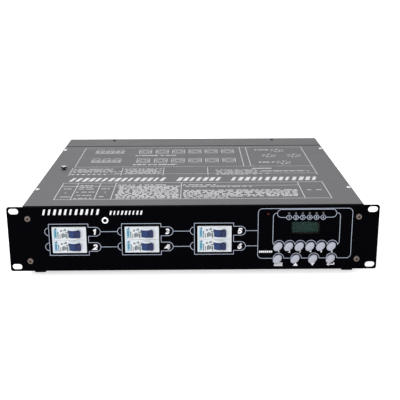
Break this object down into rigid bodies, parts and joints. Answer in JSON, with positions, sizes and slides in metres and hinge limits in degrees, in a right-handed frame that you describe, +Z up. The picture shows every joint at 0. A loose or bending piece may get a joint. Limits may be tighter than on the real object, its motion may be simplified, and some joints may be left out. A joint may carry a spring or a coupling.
{
  "type": "dimmer pack",
  "caption": "Rack-mount dimmer pack with circuit breakers and a display and button panel in front, mains outlets and signal sockets behind.",
  "frame": {"origin": "on the surface the feet stand on, under the middle of the bounding box", "axes": "+X to the right of someone facing the front panel, +Y to the rear, +Z up"},
  "size_m": [0.4826, 0.438, 0.1016],
  "materials": {
    "black_paint": "satin black powder coat",
    "grey_paint": "fine-textured grey powder coat",
    "foot_rubber": "matt",
    "breaker_white": "moulded, near white",
    "lever_blue": "moulded blue",
    "button_grey": "moulded light grey",
    "zinc_steel": "zinc plated",
    "window_clear": "clear acrylic",
    "display_green": "dark green display glass in a brown bezel",
    "board_green": "circuit board",
    "lamp_grey": "unlit lamp",
    "lamp_red": "unlit red lamp",
    "black_plastic": "moulded black",
    "aluminium": "extruded",
    "copper": "enamelled copper wire on ring cores",
    "beige_plastic": "moulded",
    "core_steel": "laminated core",
    "bronze_steel": "dull brownish plating",
    "bright_steel": "bright plated"
  },
  "bodies": {
    "case": {"front_panel": "black_paint", "chassis_tray": "grey_paint", "front_crossbar": "black_paint", "rear_panel": "grey_paint", "top_cover": "grey_paint", "foot_front_left": "foot_rubber", "foot_front_right": "foot_rubber", "foot_rear_left": "foot_rubber", "foot_rear_right": "foot_rubber", "breaker_body_1": "breaker_white", "breaker_body_2": "breaker_white", "breaker_body_3": "breaker_white", "breaker_body_4": "breaker_white", "breaker_body_5": "breaker_white", "breaker_body_6": "breaker_white", "rail_bracket": "zinc_steel", "display_window": "window_clear", "display_module": "display_green", "control_board": "board_green", "channel_led_bar": "lamp_grey", "power_led": "lamp_red", "outlet_1": "black_plastic", "outlet_2": "black_plastic", "outlet_3": "black_plastic", "outlet_4": "black_plastic", "outlet_5": "black_plastic", "outlet_6": "black_plastic", "dmx_input": "black_plastic", "dmx_output": "black_plastic", "cable_gland": "black_plastic", "gland_nut": "black_plastic", "heat_sink": "aluminium", "power_switch_row": "black_plastic", "choke_bank": "copper", "power_board": "board_green", "terminal_block": "beige_plastic", "transformer": "core_steel", "ear_screw_left_upper": "bronze_steel", "ear_screw_left_lower": "bronze_steel", "ear_screw_right_upper": "bronze_steel", "ear_screw_right_lower": "bronze_steel", "bracket_screw": "bright_steel", "cover_earth_screw": "bright_steel"},
    "lever_1": {"breaker_lever_1": "lever_blue"},
    "lever_2": {"breaker_lever_2": "lever_blue"},
    "lever_3": {"breaker_lever_3": "lever_blue"},
    "lever_4": {"breaker_lever_4": "lever_blue"},
    "lever_5": {"breaker_lever_5": "lever_blue"},
    "lever_6": {"breaker_lever_6": "lever_blue"},
    "channel_button_1": {"channel_button_1": "button_grey"},
    "channel_button_2": {"channel_button_2": "button_grey"},
    "channel_button_3": {"channel_button_3": "button_grey"},
    "channel_button_4": {"channel_button_4": "button_grey"},
    "channel_button_5": {"channel_button_5": "button_grey"},
    "channel_button_6": {"channel_button_6": "button_grey"},
    "menu_button": {"menu_button": "button_grey"},
    "up_button": {"up_button": "button_grey"},
    "down_button": {"down_button": "button_grey"},
    "escape_button": {"escape_button": "button_grey"},
    "dmx_latch": {"dmx_latch": "zinc_steel"}
  },
  "joints": [
    {"name": "lever_1_swing", "type": "hinge", "parent": "case", "child": "lever_1", "pos_m": [-0.1559, -0.20852, 0.05975], "axis": [0, 0, -1], "range_deg": [0, 80]},
    {"name": "lever_2_swing", "type": "hinge", "parent": "case", "child": "lever_2", "pos_m": [-0.1559, -0.20852, 0.04195], "axis": [0, 0, -1], "range_deg": [0, 80]},
    {"name": "lever_3_swing", "type": "hinge", "parent": "case", "child": "lever_3", "pos_m": [-0.06135, -0.20852, 0.05975], "axis": [0, 0, -1], "range_deg": [0, 80]},
    {"name": "lever_4_swing", "type": "hinge", "parent": "case", "child": "lever_4", "pos_m": [-0.06135, -0.20852, 0.04195], "axis": [0, 0, -1], "range_deg": [0, 80]},
    {"name": "lever_5_swing", "type": "hinge", "parent": "case", "child": "lever_5", "pos_m": [0.0332, -0.20852, 0.05975], "axis": [0, 0, -1], "range_deg": [0, 80]},
    {"name": "lever_6_swing", "type": "hinge", "parent": "case", "child": "lever_6", "pos_m": [0.0332, -0.20852, 0.04195], "axis": [0, 0, -1], "range_deg": [0, 80]},
    {"name": "channel_button_1_press", "type": "slide", "parent": "case", "child": "channel_button_1", "axis": [0, 1, 0], "range_m": [0, 0.001], "stiffness_N_per_m": 800},
    {"name": "channel_button_2_press", "type": "slide", "parent": "case", "child": "channel_button_2", "axis": [0, 1, 0], "range_m": [0, 0.001], "stiffness_N_per_m": 800},
    {"name": "channel_button_3_press", "type": "slide", "parent": "case", "child": "channel_button_3", "axis": [0, 1, 0], "range_m": [0, 0.001], "stiffness_N_per_m": 800},
    {"name": "channel_button_4_press", "type": "slide", "parent": "case", "child": "channel_button_4", "axis": [0, 1, 0], "range_m": [0, 0.001], "stiffness_N_per_m": 800},
    {"name": "channel_button_5_press", "type": "slide", "parent": "case", "child": "channel_button_5", "axis": [0, 1, 0], "range_m": [0, 0.001], "stiffness_N_per_m": 800},
    {"name": "channel_button_6_press", "type": "slide", "parent": "case", "child": "channel_button_6", "axis": [0, 1, 0], "range_m": [0, 0.001], "stiffness_N_per_m": 800},
    {"name": "menu_button_press", "type": "slide", "parent": "case", "child": "menu_button", "axis": [0, 1, 0], "range_m": [0, 0.001], "stiffness_N_per_m": 800},
    {"name": "up_button_press", "type": "slide", "parent": "case", "child": "up_button", "axis": [0, 1, 0], "range_m": [0, 0.001], "stiffness_N_per_m": 800},
    {"name": "down_button_press", "type": "slide", "parent": "case", "child": "down_button", "axis": [0, 1, 0], "range_m": [0, 0.001], "stiffness_N_per_m": 800},
    {"name": "escape_button_press", "type": "slide", "parent": "case", "child": "escape_button", "axis": [0, 1, 0], "range_m": [0, 0.001], "stiffness_N_per_m": 800},
    {"name": "dmx_latch_press", "type": "slide", "parent": "case", "child": "dmx_latch", "axis": [0, -1, 0], "range_m": [0, 0.0014], "stiffness_N_per_m": 1500}
  ]
}
